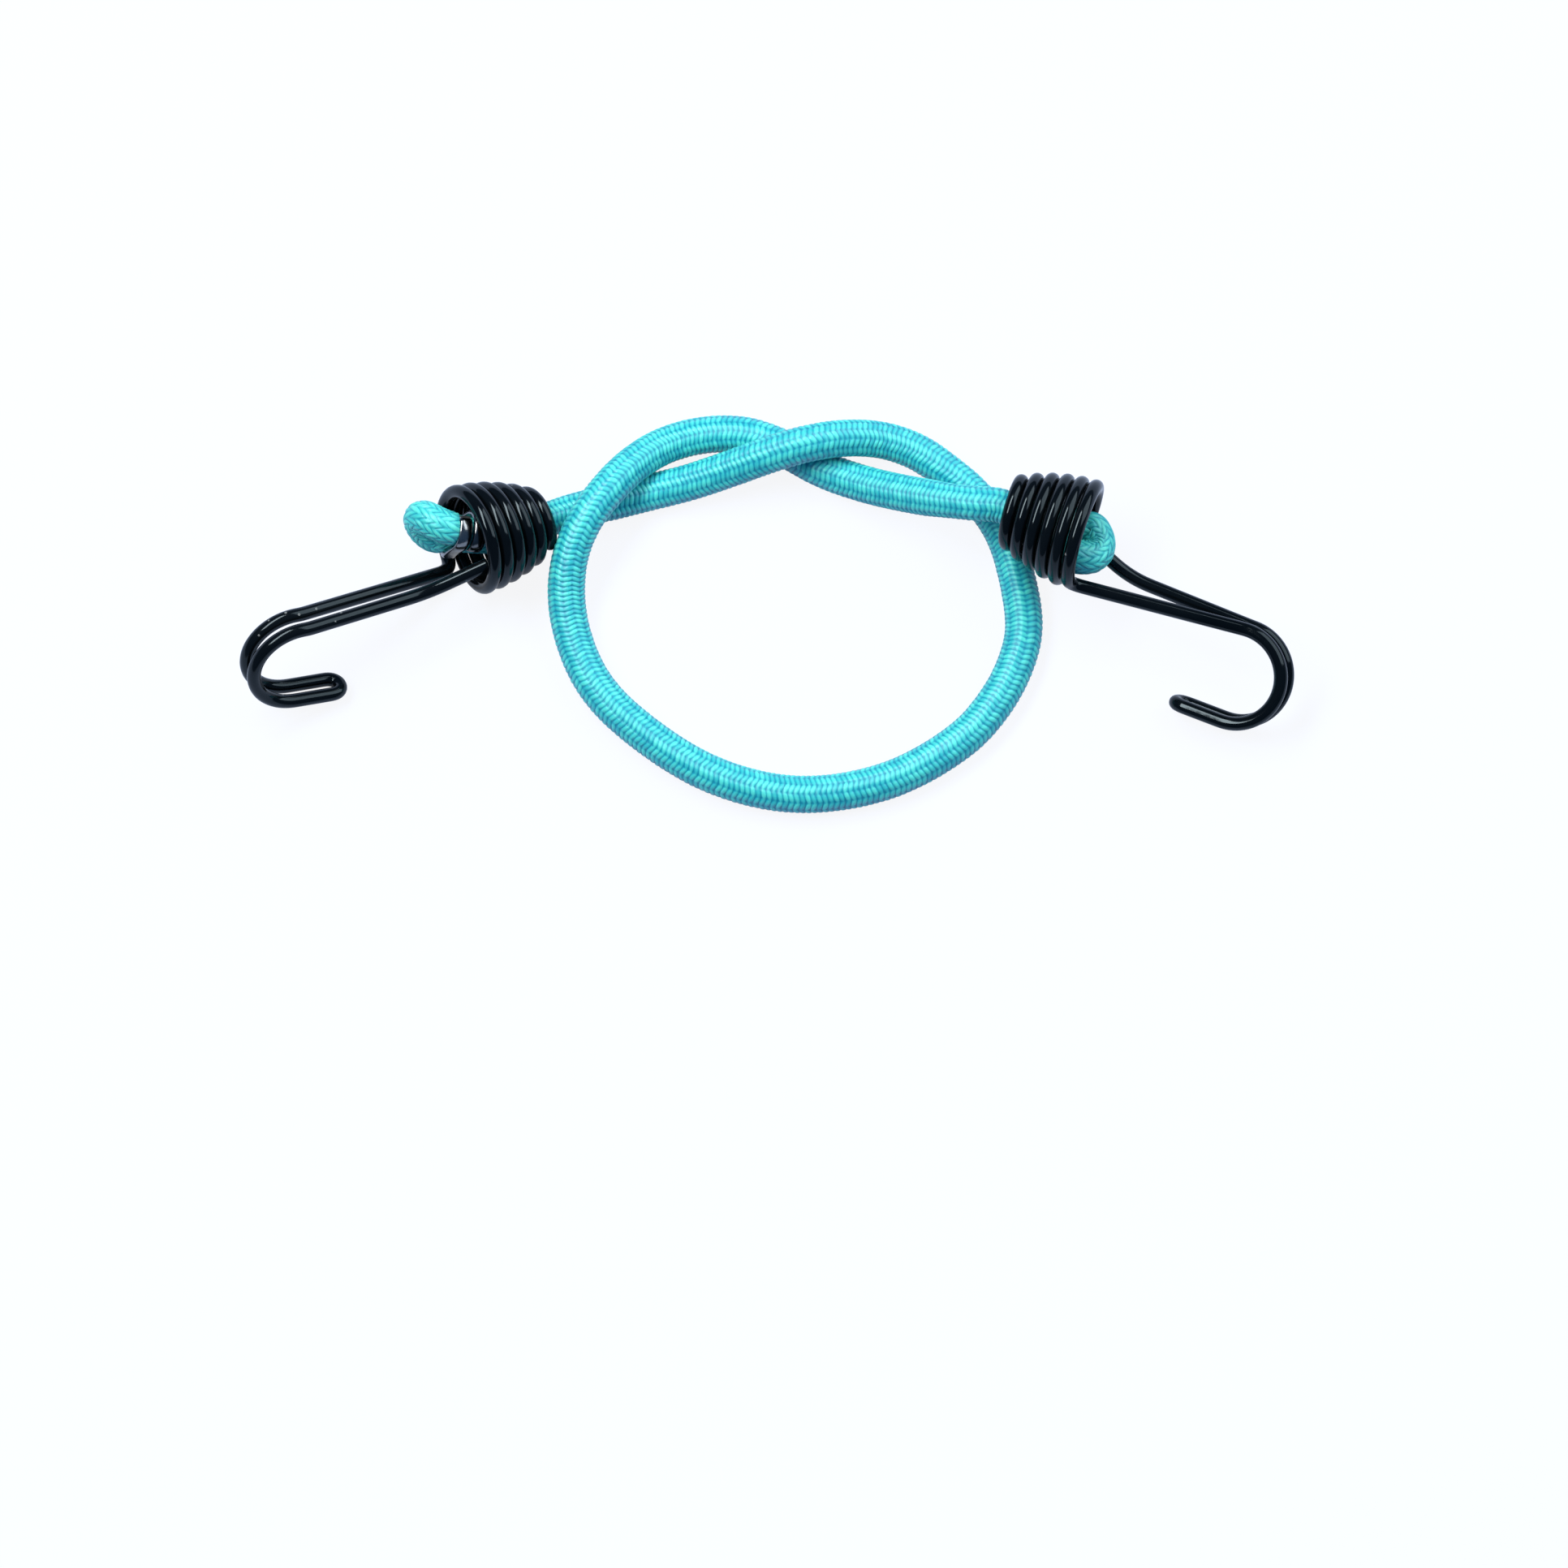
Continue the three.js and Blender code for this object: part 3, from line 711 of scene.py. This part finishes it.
def hook_path():
    """Centre line of one hook's wire in the coil's frame."""
    def coil_point(turns):
        radius = MOUTH_RADIUS - (MOUTH_RADIUS - THROAT_RADIUS) * (turns / COIL_TURNS) ** 2
        angle = -2 * np.pi * turns
        ahead = CORNER_X - COIL_PITCH * turns
        return np.stack([ahead, radius * np.cos(angle), radius * np.sin(angle)], axis=-1)

    trim_turns = CORNER_TRIM / (2 * np.pi * MOUTH_RADIUS)
    coil = coil_point(np.linspace(COIL_TURNS, trim_turns, COIL_POINTS))
    forward = unit(vec(*LEG_LEAN))
    side = vec(0, math.cos(CURL_ANGLE), math.sin(CURL_ANGLE))
    curl = unit(side - forward * (side @ forward))
    across = np.cross(forward, curl)

    def bend_start(sign):
        return vec(*BEND_START) + across * sign * LEG_GAP / 2

    def bend(sign, angles):
        lift = HOOK_RADIUS * (1 - np.cos(angles))[:, None] * curl
        return bend_start(sign) + lift + HOOK_RADIUS * np.sin(angles)[:, None] * forward

    corner = vec(CORNER_X, MOUTH_RADIUS, 0)
    leg_start = towards(corner, bend_start(-1), CORNER_TRIM)
    angles = np.linspace(0, HOOK_TURN, BEND_POINTS)
    tip_direction = forward * math.cos(HOOK_TURN) + curl * math.sin(HOOK_TURN)
    tip_middle = (bend(1, angles[-1:]) + bend(-1, angles[-1:]))[0] / 2 + tip_direction * TIP_LENGTH
    half_turn = np.linspace(0, np.pi, TIP_POINTS)[:, None]
    tip = tip_middle + LEG_GAP / 2 * (-np.cos(half_turn) * across + np.sin(half_turn) * tip_direction)
    return_side = vec(0, math.cos(RETURN_ANGLE), math.sin(RETURN_ANGLE))
    return_end = vec(-RETURN_DEPTH, 0, 0) + RETURN_RADIUS * return_side
    knee = vec(*KNEE)
    knee_in = towards(knee, bend_start(1), KNEE_TRIM)
    knee_out = towards(knee, return_end, KNEE_TRIM)
    return np.vstack([
        coil,
        rounded_corner(coil[-1], corner, leg_start, CORNER_STEPS)[1:],
        bend(-1, angles),
        tip,
        bend(1, angles[::-1]),
        rounded_corner(knee_in, knee, knee_out, KNEE_STEPS),
        return_end[None],
    ])


def wire_line(side):
    return to_row_frame(ENDS[side], even_path(hook_path(), WIRE_STEP, WIRE_SOFTEN))


# Folded cord end
def fold_frame(end, distance):
    """Middle of the fold at a distance along it, the direction from strand to strand, the direction square
    to both strands, and the fold's axis."""
    clip_back = end["clip_x"] - CLIP_WIDTH / 2
    turn_start = end["fold_reach"] - TURN_RADIUS - BIGHT_DIAMETER / 2
    in_turn = float(smoothstep(distance, turn_start, turn_start + TURN_RADIUS))
    in_fold = gentle_step(distance, FOLD_START + CLEARANCE, clip_back)
    lean_side = vec(0, math.cos(end["lean_angle"]), math.sin(end["lean_angle"]))
    past = max(distance - clip_back - CLIP_SPAN, 0)
    lean = end["lean_slope"] * (distance - end["clip_x"]) + past**2 / (2 * end["bend_radius"])
    axis = unit(vec(1, 0, 0) + lean_side * (end["lean_slope"] + past / end["bend_radius"]))
    from_leg_b = vec(0, -math.cos(RETURN_ANGLE), -math.sin(RETURN_ANGLE))
    on_axis = vec(distance, 0, 0)
    centre = on_axis + in_fold * (from_leg_b * end["fold_shift"] + lean_side * lean)
    angle = end["stack_angle"] + end["tip_twist"] * in_turn
    side = vec(0, math.cos(angle), math.sin(angle))
    stack = unit(side - axis * (side @ axis))
    return centre, stack, np.cross(axis, stack), axis


def fold_stations(end):
    """Centre line of the folded cord with its diameter and a direction square to the fold at each station."""
    fold_back = FOLD_START + CLEARANCE
    clip_back = end["clip_x"] - CLIP_WIDTH / 2
    clip_front = clip_back + CLIP_SPAN
    turn_start = end["fold_reach"] - TURN_RADIUS - BIGHT_DIAMETER / 2
    stations = []

    def add(distance, spread, diameter):
        centre, stack, square, _ = fold_frame(end, distance)
        swollen = end["swell"] if distance == clip_front else 0
        spread += math.copysign(swollen / 4, spread)
        stations.append((centre + stack * spread, square, diameter + swollen))

    clip_middle = (clip_back + clip_front) / 2
    for d in [*np.linspace(fold_back, clip_back, LEAD_IN_STATIONS), clip_middle, clip_front]:
        pressed = gentle_step(d, fold_back, clip_back)
        add(d, STRAND_SPACING / 2 * pressed, TAIL_DIAMETER + (PRESSED_DIAMETER - TAIL_DIAMETER) * pressed)
    for angle in np.linspace(0, np.pi, TURN_STATIONS):
        add(turn_start + TURN_RADIUS * math.sin(angle), TURN_RADIUS * math.cos(angle), BIGHT_DIAMETER)
    for d in (clip_front, clip_middle, clip_back, clip_back - FOLDED_TAIL):
        add(d, -STRAND_SPACING * (1 - gentle_step(d, fold_back, clip_back) / 2), PRESSED_DIAMETER)
    return stations


def make_fold(side, end):
    stations = fold_stations(end)
    line = np.array([point for point, _, _ in stations])
    per_span = 30
    fine = spline_through(line, per_span)
    steps = np.arange(len(line)) * per_span
    count = np.arange(len(fine))
    square = resampled(np.array([s for _, s, _ in stations]), steps, count)
    diameter = np.interp(count, steps, [d for _, _, d in stations])
    along = lengths_along(fine)
    points = even_path(fine, FOLD_STEP, FOLD_SOFTEN)
    even = np.linspace(0, along[-1], len(points))
    beyond_cord_end = 3
    points, even = points[beyond_cord_end:], even[beyond_cord_end:]
    row = to_row_frame(end, points)
    first, second = framed(row, resampled(square, along, even) @ end_matrix(end).T)
    reach = 3
    window = 2 * reach + 1
    padded = np.pad(np.interp(even, along, diameter), reach, mode="edge")
    diameters = np.convolve(padded, np.ones(window) / window, "valid")
    sheath = braided_tube(f"{side}_braided_fold", row, first, second, diameters, FOLD_WEAVE, FOLD_BRAID)
    core_line = row[::FOLD_CORE_STRIDE]
    core = round_tube(f"{side}_fold_rubber", core_line, FOLD_CORE_RADIUS, FOLD_CORE_SIDES, [RUBBER])
    return [(sheath, f"{side}_fold_sheath", "braid"), (core, f"{side}_fold_core", "rubber")]


# Clip: flat steel wire pressed round both strands of the fold
def clip_place(length):
    """Place on the clip's loop, which has two straights and two half rounds, and the direction outwards."""
    straight = STRAND_SPACING
    radius = CLIP_BAND_RADIUS
    half_round = np.pi * radius
    s = (length + half_round / 2) % CLIP_LOOP
    if half_round <= s < half_round + straight:
        return straight / 2 - (s - half_round), radius, 0, 1
    if s >= CLIP_LOOP - straight:
        return straight / 2 - (CLIP_LOOP - s), -radius, 0, -1
    if s < half_round:
        middle, angle = straight / 2, s / radius - np.pi / 2
    else:
        middle, angle = -straight / 2, (s - straight) / radius - np.pi / 2
    out_a, out_b = math.cos(angle), math.sin(angle)
    return middle + radius * out_a, radius * out_b, out_a, out_b


def make_clip(side, end):
    begin = end["clip_opens_at"] * CLIP_LOOP - CLIP_OVERLAP / 2
    centre, stack, square, axis = fold_frame(end, end["clip_x"])
    total = CLIP_LOOP + CLIP_OVERLAP - end["clip_cut_back"]
    lengths = np.linspace(0, total, CLIP_POINTS)
    line, outward = [], []
    for length in lengths:
        a, b, out_a, out_b = clip_place(begin + length)
        sideways = (CLIP_WIDTH + CLIP_END_GAP) * float(smoothstep(length, CLIP_OVERLAP, CLIP_LOOP))
        line.append(centre + axis * sideways + stack * a + square * b)
        outward.append(stack * out_a + square * out_b)
    row = to_row_frame(end, np.array(line))
    first, second = framed(row, np.array(outward) @ end_matrix(end).T)
    turn = np.linspace(0, 2 * np.pi, CLIP_SIDES, endpoint=False)
    thick = CLIP_THICKNESS / 2 * np.sign(np.cos(turn)) * np.abs(np.cos(turn)) ** CLIP_ROUNDNESS
    wide = CLIP_WIDTH / 2 * np.sign(np.sin(turn)) * np.abs(np.sin(turn)) ** CLIP_ROUNDNESS
    bevelled = smoothstep(np.minimum(lengths, total - lengths), BEVEL_START, BEVEL_END)[:, None]
    narrowed = wide * (1 - BEVEL_NARROWS * bevelled)
    pared = thick * np.where(thick > 0, 1 - BEVEL_PARES * bevelled, 1)
    rings = row[:, None] + first[:, None] * pared[..., None] + second[:, None] * narrowed[..., None]
    faces = grid_quads(len(rings), CLIP_SIDES).tolist()
    on_bevel = (bevelled[:-1] > BRIGHT_BEVEL) & (thick > 0)
    slots = on_bevel.astype(int).ravel().tolist()
    last = (len(rings) - 1) * CLIP_SIDES
    faces += [list(range(CLIP_SIDES))[::-1], list(range(last, last + CLIP_SIDES))]
    slots += [1, 1]
    return new_object(f"{side}_pressed_clip", rings.reshape(-1, 3), faces, [STEEL, CUT_STEEL], slots)


def make_end(side):
    end = ENDS[side]
    rod = [COATED_WIRE, CUT_STEEL]
    hook = round_tube(f"{side}_wire_hook", wire_line(side), WIRE_DIAMETER / 2, WIRE_SIDES, rod, end_slot=1)
    pieces = [(hook, f"{side}_hook", "coated_wire"), (make_clip(side, end), f"{side}_clip", "steel")]
    for piece, node, slot in pieces + make_fold(side, end):
        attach(piece, f"{side}_end")
        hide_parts(node)


# Floor, light and camera
def make_stage():
    """Pale floor that looks white to the camera, less so in reflections, and keeps the shadows."""
    floor_level = -0.3
    half = 20000.0
    white_strength = 1.15
    white_share = 0.78
    mirrored_share = 0.4
    corners = [(-half, -half), (half, -half), (half, half), (-half, half)]
    points = np.array([vec(x, y, floor_level) for x, y in corners])
    material, tree, shader = new_material("floor")
    set_inputs(shader, {"Base Color": (0.28, 0.40, 0.64, 1), "Roughness": 0.9, "Specular IOR Level": 0.1})
    rays = add_node(tree, "ShaderNodeLightPath")
    mirrored = maths(tree, "MAXIMUM", rays.outputs["Is Glossy Ray"], rays.outputs["Is Transmission Ray"])
    dimmed = maths(tree, "MULTIPLY", mirrored, mirrored_share)
    seen = maths(tree, "MAXIMUM", rays.outputs["Is Camera Ray"], dimmed)
    white = add_node(tree, "ShaderNodeEmission", {"Color": (1, 1, 1, 1), "Strength": white_strength})
    share = maths(tree, "MULTIPLY", seen, white_share)
    mixed = add_node(tree, "ShaderNodeMixShader",
                     {0: share, 1: shader.outputs["BSDF"], 2: white.outputs["Emission"]})
    tree.links.new(mixed.outputs["Shader"], tree.nodes["Material Output"].inputs["Surface"])
    floor = new_object("floor", points, [[0, 1, 2, 3]], [material])


def make_light():
    world = bpy.data.worlds.new("studio")
    world.use_nodes = True
    bpy.context.scene.world = world
    tree = world.node_tree
    sky = tree.nodes["Background"]
    set_inputs(sky, {"Color": (0.27, 0.54, 1.0, 1), "Strength": 0.16})
    white = add_node(tree, "ShaderNodeBackground", {"Color": (1, 1, 1, 1), "Strength": 1.0})
    rays = add_node(tree, "ShaderNodeLightPath")
    mixed = add_node(tree, "ShaderNodeMixShader",
                     {0: rays.outputs["Is Camera Ray"], 1: sky.outputs["Background"],
                      2: white.outputs["Background"]})
    tree.links.new(mixed.outputs["Shader"], tree.nodes["World Output"].inputs["Surface"])
    # Name, place and size in metres, watts, colour
    lamps = [
        ("key", (-0.55, 0.3, 1.18), (1.3, 0.38), 21.0, (1.0, 0.99, 0.96)),
        ("fill", (0.95, 0.6, 0.95), (1.5, 1.3), 17.5, (0.9, 0.97, 1.0)),
    ]
    for name, place, (width, depth), watts, colour in lamps:
        data = bpy.data.lights.new(name, "AREA")
        data.shape = "RECTANGLE"
        data.size = width
        data.size_y = depth
        data.energy = watts
        data.color = colour
        lamp = bpy.data.objects.new(name, data)
        lamp.location = place
        aim(lamp, vec(0, 0, 0))
        bpy.context.scene.collection.objects.link(lamp)


def aim(thing, target):
    """Turns a camera or lamp, which look along their own -Z, towards a point, with +Y kept upwards."""
    back = unit(vec(*thing.location) - target)
    right = unit(np.cross(vec(0, 1, 0) if abs(back[2]) > 0.999 else vec(0, 0, 1), back))
    up = np.cross(back, right)
    matrix = np.eye(4)
    matrix[:3, 0], matrix[:3, 1], matrix[:3, 2] = right, up, back
    matrix[:3, 3] = thing.location
    thing.matrix_world = [list(row) for row in matrix.T]


def make_camera():
    elevation = math.radians(76)
    distance = 2.4
    target = vec(0.00354, -0.0379, 0.0)
    view_width = 0.34347
    data = bpy.data.cameras.new("camera")
    data.sensor_width = 36.0
    data.lens = data.sensor_width * distance / view_width
    camera = bpy.data.objects.new("camera", data)
    camera.location = target + distance * vec(0, -math.cos(elevation), math.sin(elevation))
    aim(camera, target)
    bpy.context.scene.collection.objects.link(camera)
    bpy.context.scene.camera = camera


make_cord()
make_end("left")
make_end("right")
make_stage()
make_light()
make_camera()
bpy.context.scene.view_settings.view_transform = "Standard"
